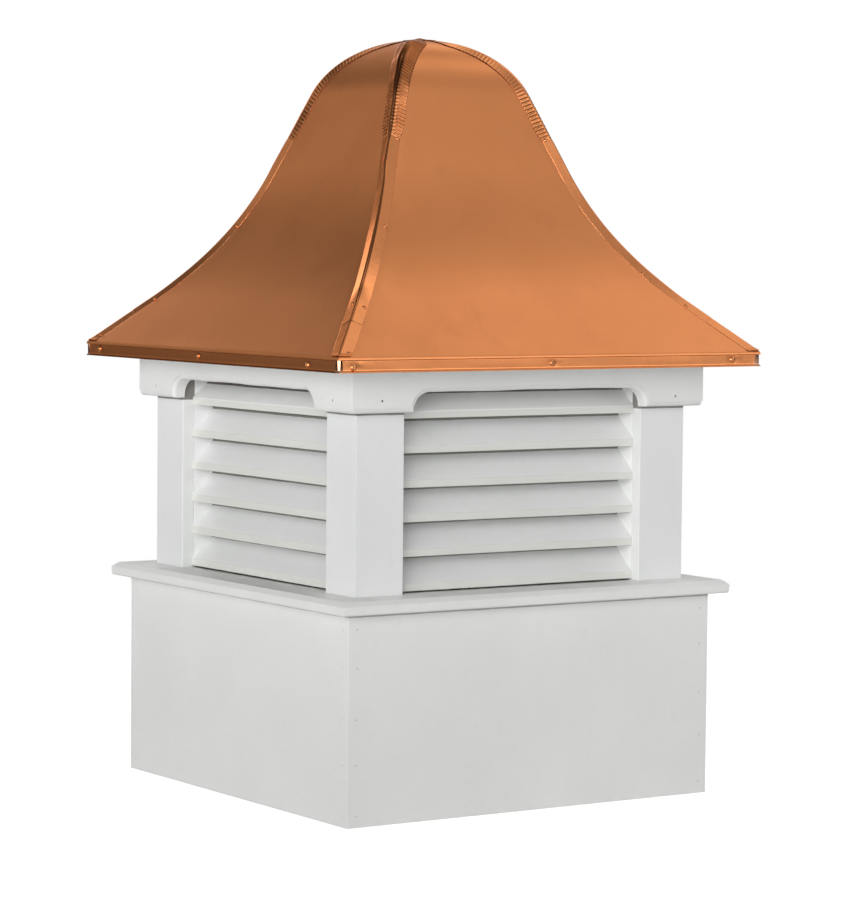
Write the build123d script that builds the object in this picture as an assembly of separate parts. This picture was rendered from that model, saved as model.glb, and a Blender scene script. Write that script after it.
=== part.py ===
from build123d import *
import os
from math import sin, cos, tan, asin, sqrt, radians

os.makedirs("parts", exist_ok=True)

# ---------------------------------------------------------------------------
# Square louvered roof cupola with a bell-shaped copper roof.
# Millimetres, +Z up. The origin is the middle of the footprint, on the floor.
# "front" is the -Y side, "right" is the +X side. All four sides are alike.
# ---------------------------------------------------------------------------

# base box
base_half = 381.0        # half of the 762 mm base width
base_height = 362.0
board_t = 25.0           # base board thickness

# cleats in the inner corners of the base
cleat_size = 38.0
cleat_bottom = 20.0

# sill
sill_half = 408.0        # outer half width
sill_flat_half = 398.0   # half width of the flat top, where the bevel begins
sill_inner_half = 319.0
sill_edge_top = 377.5    # top of the vertical edge
sill_top = 385.5
sill_under_chamfer = 2.5

# corner posts
post_half = 346.0        # outer face of the posts
post_width = 96.0        # width of each leg
post_t = 25.0

# louver bank
slat_count = 6
slat_recess = 20.0       # nose of the slats behind the post faces
slat_first = 387.5       # underside of the lowest nose
slat_pitch = 59.2
slat_run = 60.0          # depth of a slat, front to back
slat_angle = 41.0
slat_nose = 14.0         # height of the front edge
slat_nose_r = 3.5
stile_t = 13.0
stile_top = 760.0

# frieze board
frieze_half = 370.75     # outer face
frieze_bottom = 697.5
frieze_notch_half = 244.0
frieze_notch_top = 732.0
frieze_notch_r = 33.0
frieze_round = 8.0       # rounded lower front edge

# eave deck and drip edge
deck_half = 441.0
deck_bottom = 770.0
deck_t = 16.0
eave_half = 443.4
drip_t = 2.0
drip_bottom = 769.0
drip_top = 791.0
drip_flange = 30.0

# bell roof: the section of each panel, seen along its eave, is an arc over the
# top, a straight run, a hollow arc and a straight run down to the eave
roof_top = 1348.3
roof_r_top = 152.0
roof_steep = 69.0        # slope of the upper straight run, degrees
roof_run_1 = 146.9
roof_r_flare = 628.2
roof_flare = 43.16       # slope of the lower straight run, degrees
panel_t = 2.0

# hip caps and peak
cap_t = 1.5
cap_leg = 21.0
peak_half = 22.0
peak_top = 1353.5
peak_top_half = 4.0


# name of each side, and its turn about +Z from the front
SIDES = {"front": 0, "right": 90, "back": 180, "left": 270}
CORNERS = {"front_right": 0, "back_right": 90, "back_left": 180, "front_left": 270}


def save(name, shape):
    shape.label = name
    export_step(shape, f"parts/{name}.step")


def turned(shape, angle):
    return Rot(0, 0, angle) * shape


def mitre(outer):
    """Prism over the front quarter of the plan, between the two 45 degree planes."""
    tri = Polyline((0, 0), (outer, -outer), (-outer, -outer), close=True)
    return extrude(make_face(tri), 1600)


def front_run(points, half_length):
    """Board along the front: a section in (y, z), run along x."""
    face = make_face(Polyline(*[(0, y, z) for y, z in points], close=True))
    return extrude(face, half_length, dir=(1, 0, 0), both=True)


# ---- base ------------------------------------------------------------------
base_board = front_run(
    [(-base_half, 0), (-base_half + board_t, 0),
     (-base_half + board_t, base_height), (-base_half, base_height)], base_half + 10)
base_board = base_board & mitre(base_half + 20)

inner = base_half - board_t
cleat = Pos(inner - cleat_size / 2, -inner + cleat_size / 2,
            (cleat_bottom + base_height) / 2) * Box(
                cleat_size, cleat_size, base_height - cleat_bottom)

# ---- sill ------------------------------------------------------------------
c = sill_under_chamfer
sill = front_run(
    [(-sill_inner_half, base_height), (-sill_half + c, base_height),
     (-sill_half, base_height + c), (-sill_half, sill_edge_top),
     (-sill_flat_half, sill_top), (-sill_inner_half, sill_top)], sill_half + 10)
sill = sill & mitre(sill_half + 20)

# ---- corner post -----------------------------------------------------------
p, w, t = post_half, post_width, post_t
post = extrude(make_face(Polyline(
    (p, -p), (p, -p + w), (p - t, -p + w), (p - t, -p + t),
    (p - w, -p + t), (p - w, -p), close=True)), deck_bottom - sill_top)
post = Pos(0, 0, sill_top) * post

# ---- louver bank -----------------------------------------------------------
opening_half = post_half - post_width
nose_y = -post_half + slat_recess
rise = slat_run * tan(radians(slat_angle))


def slat(z0):
    pts = [(nose_y, z0), (nose_y + slat_run, z0 + rise),
           (nose_y + slat_run, z0 + rise + slat_nose), (nose_y, z0 + slat_nose)]
    body = front_run(pts, opening_half)
    edges = (body.edges().filter_by(Axis.X)
             .filter_by(lambda e: abs(e.center().Y - nose_y) < 0.01))
    return fillet(edges, slat_nose_r)


slats = Compound(children=[slat(slat_first + i * slat_pitch) for i in range(slat_count)])

stile_front = -post_half + post_t
stile_back = nose_y + slat_run + 2.0
stile = Pos(opening_half + stile_t / 2, (stile_front + stile_back) / 2,
            (sill_top + stile_top) / 2) * Box(
                stile_t, stile_back - stile_front, stile_top - sill_top)
stiles = Compound(children=[stile, mirror(stile, about=Plane.YZ)])

# ---- frieze ----------------------------------------------------------------
frieze_t = frieze_half - post_half
zb, zt = frieze_bottom, deck_bottom
n, r = frieze_notch_half, frieze_notch_r
length = frieze_half + 30
outline = Polyline((-length, zb), (-n, zb), (-n, frieze_notch_top),
                   (n, frieze_notch_top), (n, zb), (length, zb),
                   (length, zt), (-length, zt), close=True)
front_plane = Plane(origin=(0, -post_half, 0), x_dir=(1, 0, 0), z_dir=(0, -1, 0))
frieze_face = make_face(outline)
frieze_face = fillet([v for v in frieze_face.vertices()
                      if abs(v.Y - frieze_notch_top) < 0.01], r)
frieze = extrude(front_plane * frieze_face, frieze_t)
lower = [e for e in frieze.edges()
         if abs(e.center().Y + frieze_half) < 0.01
         and e.center().Z < frieze_notch_top + 0.01
         and abs(e.center().X) < length - 1]
frieze = fillet(lower, frieze_round)
frieze = frieze & mitre(frieze_half + 20)

# ---- eave deck and drip edge -------------------------------------------------
deck = Pos(0, 0, deck_bottom + deck_t / 2) * Box(2 * deck_half, 2 * deck_half, deck_t)

e, dt = eave_half, drip_t
deck_top = deck_bottom + deck_t
drip = front_run(
    [(-e, drip_bottom), (-e, drip_top), (-e + dt, drip_top), (-e + dt, deck_top + dt),
     (-e + drip_flange, deck_top + dt), (-e + drip_flange, deck_top),
     (-deck_half, deck_top), (-deck_half, drip_bottom)], e + 10)
drip = drip & mitre(e + 20)

# ---- bell roof ---------------------------------------------------------------
s1, s2 = radians(roof_steep), radians(roof_flare)


def roof_section(off_in, off_out, start, end_z):
    """Closed section in (d, z) between two offsets of the roof line.

    d is the level distance from the middle of the roof. The section starts at
    d = start near the top and ends on the level z = end_z at the eave.
    """
    zc = roof_top - roof_r_top                      # centre of the top arc, d = 0
    # end of the top arc, and the straight run after it
    a_end = lambda o: ((roof_r_top + o) * sin(s1), zc + (roof_r_top + o) * cos(s1))
    b_end = lambda o: (a_end(o)[0] + roof_run_1 * cos(s1),
                       a_end(o)[1] - roof_run_1 * sin(s1))
    # centre of the hollow arc
    b0 = b_end(0)
    cx, cz = b0[0] + roof_r_flare * sin(s1), b0[1] + roof_r_flare * cos(s1)
    flare = lambda o, a: (cx - (roof_r_flare - o) * sin(a), cz - (roof_r_flare - o) * cos(a))

    def line(o):
        rt = roof_r_top + o
        p0 = (start, zc + sqrt(rt * rt - start * start))
        a0 = asin(start / rt)
        am = (a0 + s1) / 2
        pm = (rt * sin(am), zc + rt * cos(am))
        p1 = a_end(o)
        p2 = b_end(o)
        pm2 = flare(o, (s1 + s2) / 2)
        p3 = flare(o, s2)
        run = (p3[1] - end_z) / tan(s2)
        p4 = (p3[0] + run, end_z)
        return p0, pm, p1, p2, pm2, p3, p4

    o0, om, o1, o2, om2, o3, o4 = line(off_out)
    i0, im, i1, i2, im2, i3, i4 = line(off_in)
    P = lambda q: (0, -q[0], q[1])
    return o4, i4, [
        ThreePointArc(P(o0), P(om), P(o1)), Line(P(o1), P(o2)),
        ThreePointArc(P(o2), P(om2), P(o3)), Line(P(o3), P(o4)),
        Line(P(o4), P(i4)),
        Line(P(i4), P(i3)), ThreePointArc(P(i3), P(im2), P(i2)),
        Line(P(i2), P(i1)), ThreePointArc(P(i1), P(im), P(i0)),
        Line(P(i0), P(o0))]


def roof_band(off_in, off_out, start, end_z):
    o4, i4, edges = roof_section(off_in, off_out, start, end_z)
    return extrude(make_face(Wire(edges)), 460, dir=(1, 0, 0), both=True)


eave_trim = Pos(0, 0, 1000) * Box(2 * eave_half, 2 * eave_half, 1000)
panel = roof_band(-panel_t, 0, peak_half, drip_top)
panel = panel & mitre(470) & eave_trim

# Hip cap over the front right hip: one leg on the front panel and one on the
# right panel, each cap_leg wide measured along the eave.
band = roof_band(0, cap_t, peak_half, drip_top)
hip_strip = extrude(make_face(Polyline(
    (0, 0), (470, -470), (470 - cap_leg, -470), (-cap_leg, 0), close=True)), 1600)
cap_front = band & hip_strip & mitre(470) & eave_trim
cap_side = mirror(cap_front, about=Plane(origin=(0, 0, 0), z_dir=(1, 1, 0)))
hip_cap = cap_front + cap_side

# Peak: a small square cap over the middle, drawn up to a blunt point
peak_low = roof_top - 7.0
peak_shoulder = roof_top + cap_t - peak_half ** 2 / (2 * roof_r_top)
peak = extrude(Rectangle(2 * peak_half, 2 * peak_half), peak_shoulder - peak_low)
peak = Pos(0, 0, peak_low) * peak
crown = loft([Pos(0, 0, peak_shoulder) * Rectangle(2 * peak_half, 2 * peak_half),
              Pos(0, 0, peak_top) * Rectangle(2 * peak_top_half, 2 * peak_top_half)])
peak = peak + crown

# ---- write one file for each piece -------------------------------------------
for side, turn in SIDES.items():
    save(f"base_board_{side}", turned(base_board, turn))
    save(f"sill_{side}", turned(sill, turn))
    save(f"louver_slats_{side}", turned(slats, turn))
    save(f"louver_stiles_{side}", turned(stiles, turn))
    save(f"frieze_{side}", turned(frieze, turn))
    save(f"drip_edge_{side}", turned(drip, turn))
    save(f"roof_panel_{side}", turned(panel, turn))

for corner, turn in CORNERS.items():
    save(f"base_cleat_{corner}", turned(cleat, turn))
    save(f"corner_post_{corner}", turned(post, turn))
    save(f"hip_cap_{corner}", turned(hip_cap, turn))

save("roof_deck", deck)
save("roof_peak", peak)
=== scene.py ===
import math

import bmesh
import bpy
import numpy as np
from mathutils import Matrix, Vector


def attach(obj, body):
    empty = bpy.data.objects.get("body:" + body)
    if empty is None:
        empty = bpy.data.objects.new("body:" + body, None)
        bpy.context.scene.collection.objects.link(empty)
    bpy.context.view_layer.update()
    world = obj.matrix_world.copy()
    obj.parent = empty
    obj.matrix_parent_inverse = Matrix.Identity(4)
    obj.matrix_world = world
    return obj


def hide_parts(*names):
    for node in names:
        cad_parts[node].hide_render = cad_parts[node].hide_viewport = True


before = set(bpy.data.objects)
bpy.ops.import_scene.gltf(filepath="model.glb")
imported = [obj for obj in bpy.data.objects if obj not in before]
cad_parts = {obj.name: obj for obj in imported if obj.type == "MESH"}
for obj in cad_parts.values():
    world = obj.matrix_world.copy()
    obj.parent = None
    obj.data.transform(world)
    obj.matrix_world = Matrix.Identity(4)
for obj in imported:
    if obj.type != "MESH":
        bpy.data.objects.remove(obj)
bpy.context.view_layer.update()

MM = 0.001
SIDES = {"front": 0, "right": 1, "back": 2, "left": 3}
CORNERS = {"front_right": 0, "back_right": 1, "back_left": 2, "front_left": 3}
scene = bpy.context.scene


# ---------------------------------------------------------------------------
# Mesh tools. Lengths are millimetres until a mesh is made.
# ---------------------------------------------------------------------------

def turn(v, k):
    """Quarter turns about +Z."""
    v = np.asarray(v, float)
    for _ in range(k % 4):
        v = np.stack([-v[..., 1], v[..., 0], v[..., 2]], -1)
    return v


def smooth(a, b, x):
    t = np.clip((np.asarray(x, float) - a) / (b - a), 0.0, 1.0)
    return t * t * (3 - 2 * t)


def bump(x, c, w):
    """A smooth hump of height 1 at c, nothing outside c - w to c + w."""
    t = np.clip(1 - ((np.asarray(x, float) - c) / w) ** 2, 0.0, 1.0)
    return t * t


class Shape:
    """Vertices and faces gathered for one object, with a material number for each face."""

    def __init__(self):
        self.v, self.f, self.m, self.n = [], [], [], 0

    def add(self, verts, faces, mat=0):
        verts = np.asarray(verts, float).reshape(-1, 3)
        self.v.append(verts)
        self.f += [tuple(i + self.n for i in f) for f in faces]
        self.m += [mat] * len(faces)
        self.n += len(verts)
        return self

    def mesh(self, name, k=0, sharp=32.0):
        v = turn(np.concatenate(self.v), k) * MM
        me = bpy.data.meshes.new(name)
        me.from_pydata([tuple(p) for p in v], [], self.f)
        me.polygons.foreach_set("material_index", np.array(self.m, np.int32))
        bm = bmesh.new()
        bm.from_mesh(me)
        bmesh.ops.recalc_face_normals(bm, faces=bm.faces)
        bm.to_mesh(me)
        bm.free()
        me.shade_smooth()
        me.set_sharp_from_angle(angle=math.radians(sharp))
        me.update()
        return me


def place(name, me, mats, slot, *nodes, weighted=True):
    ob = bpy.data.objects.new(name, me)
    scene.collection.objects.link(ob)
    for m in mats:
        me.materials.append(m)
    if weighted:
        w = ob.modifiers.new("flat_faces", "WEIGHTED_NORMAL")
        w.weight = 100
        w.keep_sharp = True
    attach(ob, "root")
    if nodes:
        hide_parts(*nodes)
    return ob


def loft(rings, caps=True):
    """Skin over closed rings with the same number of points each."""
    n = len(rings[0])
    faces = []
    for r in range(len(rings) - 1):
        a, b = r * n, (r + 1) * n
        for i in range(n):
            j = (i + 1) % n
            faces.append((a + i, a + j, b + j, b + i))
    if caps:
        faces.append(tuple(range(n))[::-1])
        faces.append(tuple(range((len(rings) - 1) * n, len(rings) * n)))
    return np.concatenate([np.asarray(r, float) for r in rings]), faces


def rounded(points, radii, steps=4):
    """Polygon with each corner turned into an arc."""
    pts = [np.array(p, float) for p in points]
    if not hasattr(radii, "__len__"):
        radii = [radii] * len(pts)
    out = []
    for i, p in enumerate(pts):
        a, b, r = pts[i - 1], pts[(i + 1) % len(pts)], radii[i]
        if r <= 0:
            out.append(p)
            continue
        u, w = (a - p) / np.linalg.norm(a - p), (b - p) / np.linalg.norm(b - p)
        ang = math.acos(float(np.clip(u @ w, -1, 1)))
        d = r / math.tan(ang / 2)
        p0, p1 = p + u * d, p + w * d
        c = p + (u + w) / np.linalg.norm(u + w) * (r / math.sin(ang / 2))
        a0 = math.atan2(*(p0 - c)[::-1])
        a1 = math.atan2(*(p1 - c)[::-1])
        da = (a1 - a0 + math.pi) % (2 * math.pi) - math.pi
        for s in range(steps + 1):
            t = a0 + da * s / steps
            out.append(c + r * np.array([math.cos(t), math.sin(t)]))
    return np.array(out)


def normals_2d(p):
    """Outward unit normals at the points of a closed polygon."""
    area = 0.5 * np.sum(p[:, 0] * np.roll(p[:, 1], -1) - np.roll(p[:, 0], -1) * p[:, 1])
    sign = 1.0 if area > 0 else -1.0
    e = np.roll(p, -1, 0) - p
    e /= np.maximum(np.linalg.norm(e, axis=1), 1e-9)[:, None]
    n = np.stack([e[:, 1], -e[:, 0]], 1) * sign
    m = n + np.roll(n, 1, 0)
    k = np.maximum(np.linalg.norm(m, axis=1), 1e-9)
    m /= k[:, None]
    cosine = np.clip(np.sum(m * n, 1), 0.4, 1.0)
    return m / cosine[:, None]


EASE = np.radians([0.0, 30.0, 60.0, 90.0])


def mitre_ease(radius, seam):
    """(offset, setback) pairs that carry a board round half of a soft corner."""
    out = []
    for t in np.radians([0.0, 15.0, 30.0, 41.0]):
        out.append((radius * (1 - math.cos(t)), radius * (math.cos(t) - math.sin(t)) + seam * 0.6))
    out.append((radius * (1 - math.cos(math.pi / 4)) + seam, 0.0))
    return out


def mitred_run(section, radius, mid=(0.0,), seam=0.12):
    """Board along the front, from 45 degree end to 45 degree end.

    section is (h, z), h being the distance out from the middle of the cupola.
    """
    p = np.asarray(section, float)
    n = normals_2d(p)

    def ring(off, setback, side):
        q = p - off * n
        return np.stack([side * (q[:, 0] - setback), -q[:, 0], q[:, 1]], 1)

    ends = mitre_ease(radius, seam)
    rings = [ring(o, b, -1) for o, b in ends[::-1]]
    for x in mid:
        rings.append(np.stack([x * (p[:, 0] - radius - seam), -p[:, 0], p[:, 1]], 1))
    rings += [ring(o, b, 1) for o, b in ends]
    return loft(rings)


def prism_x(section, x0, x1, ease, mid=()):
    """Solid with a (y, z) section, run along x, its ends eased."""
    p = np.asarray(section, float)
    n = normals_2d(p)
    rings = []
    for t in EASE[::-1]:
        q = p - ease * (1 - math.cos(t)) * n
        rings.append(np.stack([np.full(len(q), x0 + ease * (1 - math.sin(t))), q[:, 0], q[:, 1]], 1))
    for x in mid:
        rings.append(np.stack([np.full(len(p), x), p[:, 0], p[:, 1]], 1))
    for t in EASE:
        q = p - ease * (1 - math.cos(t)) * n
        rings.append(np.stack([np.full(len(q), x1 - ease * (1 - math.sin(t))), q[:, 0], q[:, 1]], 1))
    return loft(rings)


def prism_z(plan, z0, z1, ease, mid=()):
    p = np.asarray(plan, float)
    n = normals_2d(p)
    rings = []
    for t in EASE[::-1]:
        q = p - ease * (1 - math.cos(t)) * n
        rings.append(np.column_stack([q, np.full(len(q), z0 + ease * (1 - math.sin(t)))]))
    for z in mid:
        rings.append(np.column_stack([p, np.full(len(p), z)]))
    for t in EASE:
        q = p - ease * (1 - math.cos(t)) * n
        rings.append(np.column_stack([q, np.full(len(q), z1 - ease * (1 - math.sin(t)))]))
    return loft(rings)


def lathe(profile, origin, axis, seg=24, up=(0, 0, 1), warp=None):
    """Solid of revolution. profile is (radius, height along axis), from the middle of
    one end to the middle of the other."""
    axis = np.array(axis, float)
    axis /= np.linalg.norm(axis)
    u = np.cross(np.array(up, float), axis)
    if np.linalg.norm(u) < 1e-6:
        u = np.cross((1.0, 0, 0), axis)
    u /= np.linalg.norm(u)
    w = np.cross(axis, u)
    o = np.array(origin, float)
    prof = [q for q in profile if q[0] > 1e-6]
    rings = []
    for r, h in prof:
        t = np.arange(seg) * 2 * math.pi / seg
        hh = np.full(seg, float(h))
        if warp is not None:
            hh = hh + warp(r, t)
        rings.append(o + r * (np.cos(t)[:, None] * u + np.sin(t)[:, None] * w) + hh[:, None] * axis)
    verts = np.concatenate(rings)
    faces = []
    for k in range(len(rings) - 1):
        for i in range(seg):
            j = (i + 1) % seg
            faces.append((k * seg + i, k * seg + j, (k + 1) * seg + j, (k + 1) * seg + i))
    n = len(verts)
    verts = np.concatenate([verts, [o + profile[0][1] * axis, o + profile[-1][1] * axis]])
    last = (len(rings) - 1) * seg
    for i in range(seg):
        j = (i + 1) % seg
        faces.append((n, j, i))
        faces.append((n + 1, last + i, last + j))
    return verts, faces


def cut(me, cutter_shape, k, name):
    """Takes the cutter out of a mesh for good."""
    a = bpy.data.objects.new(name + "_a", me)
    b = bpy.data.objects.new(name + "_b", cutter_shape.mesh(name + "_cut", k))
    scene.collection.objects.link(a)
    scene.collection.objects.link(b)
    m = a.modifiers.new("cut", "BOOLEAN")
    m.operation = "DIFFERENCE"
    m.solver = "EXACT"
    m.object = b
    bpy.context.view_layer.update()
    dep = bpy.context.evaluated_depsgraph_get()
    new = bpy.data.meshes.new_from_object(a.evaluated_get(dep), depsgraph=dep)
    bpy.data.objects.remove(a)
    bpy.data.objects.remove(b)
    new.shade_smooth()
    new.set_sharp_from_angle(angle=math.radians(32))
    return new


# ---------------------------------------------------------------------------
# Materials
# ---------------------------------------------------------------------------

class Tree:
    def __init__(self, name):
        self.mat = bpy.data.materials.new(name)
        self.mat.use_nodes = True
        self.t = self.mat.node_tree
        self.t.nodes.clear()
        self.out = self.t.nodes.new("ShaderNodeOutputMaterial")
        self.bsdf = self.t.nodes.new("ShaderNodeBsdfPrincipled")
        self.t.links.new(self.bsdf.outputs[0], self.out.inputs[0])
        self.coord = self.t.nodes.new("ShaderNodeTexCoord").outputs["Object"]

    def node(self, kind, **values):
        n = self.t.nodes.new(kind)
        for key, value in values.items():
            setattr(n, key, value)
        return n

    def link(self, a, b):
        self.t.links.new(a, b)

    def mapped(self, scale=(1, 1, 1), rotation=(0, 0, 0), location=(0, 0, 0)):
        m = self.node("ShaderNodeMapping")
        m.inputs["Scale"].default_value = scale
        m.inputs["Rotation"].default_value = rotation
        m.inputs["Location"].default_value = location
        self.link(self.coord, m.inputs["Vector"])
        return m.outputs[0]

    def noise(self, vector, scale, detail=3.0, rough=0.5, distortion=0.0):
        n = self.node("ShaderNodeTexNoise")
        n.inputs["Scale"].default_value = scale
        n.inputs["Detail"].default_value = detail
        n.inputs["Roughness"].default_value = rough
        n.inputs["Distortion"].default_value = distortion
        self.link(vector, n.inputs["Vector"])
        return n.outputs["Fac"]

    def ramp(self, fac, stops, interpolation="LINEAR"):
        r = self.node("ShaderNodeValToRGB")
        r.color_ramp.interpolation = interpolation
        e = r.color_ramp.elements
        while len(e) < len(stops):
            e.new(0.5)
        for el, (pos, col) in zip(e, stops):
            el.position = pos
            el.color = (*col, 1.0) if hasattr(col, "__len__") else (col, col, col, 1.0)
        self.link(fac, r.inputs[0])
        return r.outputs[0]

    def range(self, fac, a, b, lo, hi):
        r = self.node("ShaderNodeMapRange")
        for key, value in (("From Min", a), ("From Max", b), ("To Min", lo), ("To Max", hi)):
            r.inputs[key].default_value = value
        self.link(fac, r.inputs[0])
        return r.outputs[0]

    def mix(self, fac, a, b, blend="MIX"):
        m = self.node("ShaderNodeMix", data_type="RGBA", blend_type=blend)
        for sock, value in ((m.inputs[0], fac), (m.inputs[6], a), (m.inputs[7], b)):
            if hasattr(value, "is_linked"):
                self.link(value, sock)
            elif hasattr(value, "__len__"):
                sock.default_value = (*value, 1.0)
            else:
                sock.default_value = value
        return m.outputs[2]

    def math(self, op, a, b=None, clamp=False):
        m = self.node("ShaderNodeMath", operation=op, use_clamp=clamp)
        for sock, value in ((m.inputs[0], a), (m.inputs[1], b)):
            if value is None:
                continue
            if hasattr(value, "is_linked"):
                self.link(value, sock)
            else:
                sock.default_value = value
        return m.outputs[0]

    def bump(self, height, strength, distance, normal=None):
        b = self.node("ShaderNodeBump")
        b.inputs["Strength"].default_value = strength
        b.inputs["Distance"].default_value = distance
        self.link(height, b.inputs["Height"])
        if normal is not None:
            self.link(normal, b.inputs["Normal"])
        return b.outputs[0]


def pvc(name, tint=(0.875, 0.875, 0.862), rough=0.34, grain=1.0, painted_shade=None):
    t = Tree(name)
    p = t.bsdf
    p.inputs["IOR"].default_value = 1.5
    cloud = t.noise(t.mapped(), 5.0, 4.0, 0.55)
    dust = t.noise(t.mapped(location=(3.1, 1.7, 0.4)), 60.0, 3.0, 0.6)
    lo = tuple(c * 0.972 for c in tint)
    hi = tuple(min(c * 1.018, 0.93) for c in tint)
    colour = t.ramp(cloud, [(0.3, lo), (0.7, hi)])
    grime = t.range(dust, 0.58, 0.78, 0.0, 0.10)
    colour = t.mix(grime, colour, (0.60, 0.585, 0.55))
    # few small dark specks, as loose dust and handling leave on white board
    speck = t.node("ShaderNodeTexVoronoi", feature="F1", distance="EUCLIDEAN")
    speck.inputs["Scale"].default_value = 26.0
    t.link(t.mapped(location=(0.31, 0.77, 0.13)), speck.inputs["Vector"])
    seed = t.node("ShaderNodeSeparateColor")
    t.link(speck.outputs["Color"], seed.inputs[0])
    chosen = t.math("GREATER_THAN", seed.outputs[0], 0.90)
    size = t.range(seed.outputs[1], 0.0, 1.0, 0.014, 0.036)
    dot = t.math("LESS_THAN", speck.outputs["Distance"], size)
    dot = t.math("MULTIPLY", dot, chosen)
    dot = t.math("MULTIPLY", dot, 0.34)
    colour = t.mix(dot, colour, (0.22, 0.20, 0.17))
    if painted_shade is not None:
        # painted shade: a dark line laid into the colour just under an overhang, where the overhang's shadow falls
        at = t.node("ShaderNodeSeparateXYZ")
        t.link(t.coord, at.inputs[0])
        if painted_shade["along"] == "z":
            place_on = at.outputs[2]
        else:
            place_on = t.math("MAXIMUM", t.math("ABSOLUTE", at.outputs[0]), t.math("ABSOLUTE", at.outputs[1]))
        wander = t.noise(t.mapped(), 22.0, 3.0, 0.6)
        place_on = t.math("ADD", place_on, t.range(wander, 0.3, 0.7, -0.0004, 0.0004))
        shade_line = t.range(place_on, painted_shade["from"], painted_shade["to"], 0.0, painted_shade["depth"])
        if "end" in painted_shade:
            shade_line = t.math("MULTIPLY", shade_line, t.range(place_on, painted_shade["end"], painted_shade["end"] + 0.0006, 1.0, 0.0))
        colour = t.mix(shade_line, colour, painted_shade["colour"])
    t.link(colour, p.inputs["Base Color"])
    r = t.noise(t.mapped(), 18.0, 3.0, 0.6)
    t.link(t.range(r, 0.3, 0.7, rough - 0.03, rough + 0.04), p.inputs["Roughness"])
    fine = t.noise(t.mapped(), 320.0, 2.0, 0.5)
    wide = t.noise(t.mapped(), 8.0, 2.0, 0.5)
    n = t.bump(wide, 0.30, 0.0009 * grain)
    n = t.bump(fine, 0.10, 0.00004 * grain, n)
    t.link(n, p.inputs["Normal"])
    return t.mat


def copper(name, tint=(0.93, 0.343, 0.129), rough=0.29, age=1.0, dents=0.0, painted_darkening=None):
    t = Tree(name)
    p = t.bsdf
    p.inputs["Metallic"].default_value = 1.0
    # with the painted darkening the grazing reflections are browned too
    p.inputs["Specular Tint"].default_value = (1.0, 0.80, 0.64, 1.0) if painted_darkening is None else (0.82, 0.59, 0.49, 1.0)
    cloud = t.noise(t.mapped(), 3.2, 5.0, 0.58)
    lo = (tint[0] * 0.955, tint[1] * 0.945, tint[2] * 0.93)
    hi = (min(tint[0] * 1.03, 0.97), tint[1] * 1.045, tint[2] * 1.07)
    colour = t.ramp(cloud, [(0.28, lo), (0.72, hi)])
    # handling marks: faint darker and browner patches
    marks = t.noise(t.mapped(location=(2.0, 5.0, 1.0)), 14.0, 6.0, 0.62, 0.6)
    colour = t.mix(t.range(marks, 0.56, 0.76, 0.0, 0.16 * age), colour, (tint[0] * 0.66, tint[1] * 0.60, tint[2] * 0.58))
    spots = t.noise(t.mapped(location=(7.0, 2.0, 3.0)), 130.0, 2.0, 0.5)
    colour = t.mix(t.range(spots, 0.70, 0.80, 0.0, 0.22 * age), colour, (tint[0] * 0.5, tint[1] * 0.45, tint[2] * 0.45))
    if painted_darkening is not None:
        # painted shade: the metal is browned and darkened across a band of height, in place of a darker reflection
        # there
        at = t.node("ShaderNodeSeparateXYZ")
        t.link(t.coord, at.inputs[0])
        high = t.math("ADD", at.outputs[2], t.range(marks, 0.3, 0.7, -painted_darkening[3], painted_darkening[3]))
        colour = t.mix(t.range(high, painted_darkening[0], painted_darkening[1], 0.0, painted_darkening[2]), colour, (tint[0] * 0.36, tint[1] * 0.335, tint[2] * 0.33))
    t.link(colour, p.inputs["Base Color"])
    r = t.noise(t.mapped(), 7.0, 5.0, 0.6)
    t.link(t.range(r, 0.3, 0.7, rough - 0.03, rough + 0.045), p.inputs["Roughness"])
    # rolling lines of the sheet, and a fine tooth
    lines = t.noise(t.mapped(scale=(9.0, 9.0, 420.0)), 1.0, 2.0, 0.5)
    tooth = t.noise(t.mapped(), 400.0, 2.0, 0.5)
    wide = t.noise(t.mapped(), 4.5, 2.0, 0.5)
    n = t.bump(wide, 0.5, 0.0012)
    n = t.bump(lines, 0.10, 0.00004, n)
    n = t.bump(tooth, 0.10, 0.00002, n)
    if dents:
        d = t.noise(t.mapped(), 55.0, 2.0, 0.5)
        n = t.bump(d, dents, 0.0008, n)
    t.link(n, p.inputs["Normal"])
    return t.mat


def plain_noise(name, a, b, scale, rough=(0.5, 0.65), metallic=0.0, bump_mm=0.05):
    t = Tree(name)
    t.bsdf.inputs["Metallic"].default_value = metallic
    f = t.noise(t.mapped(), scale, 4.0, 0.6)
    t.link(t.ramp(f, [(0.3, a), (0.7, b)]), t.bsdf.inputs["Base Color"])
    t.link(t.range(f, 0.3, 0.7, rough[0], rough[1]), t.bsdf.inputs["Roughness"])
    t.link(t.bump(f, 0.4, bump_mm * MM), t.bsdf.inputs["Normal"])
    return t.mat


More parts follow.
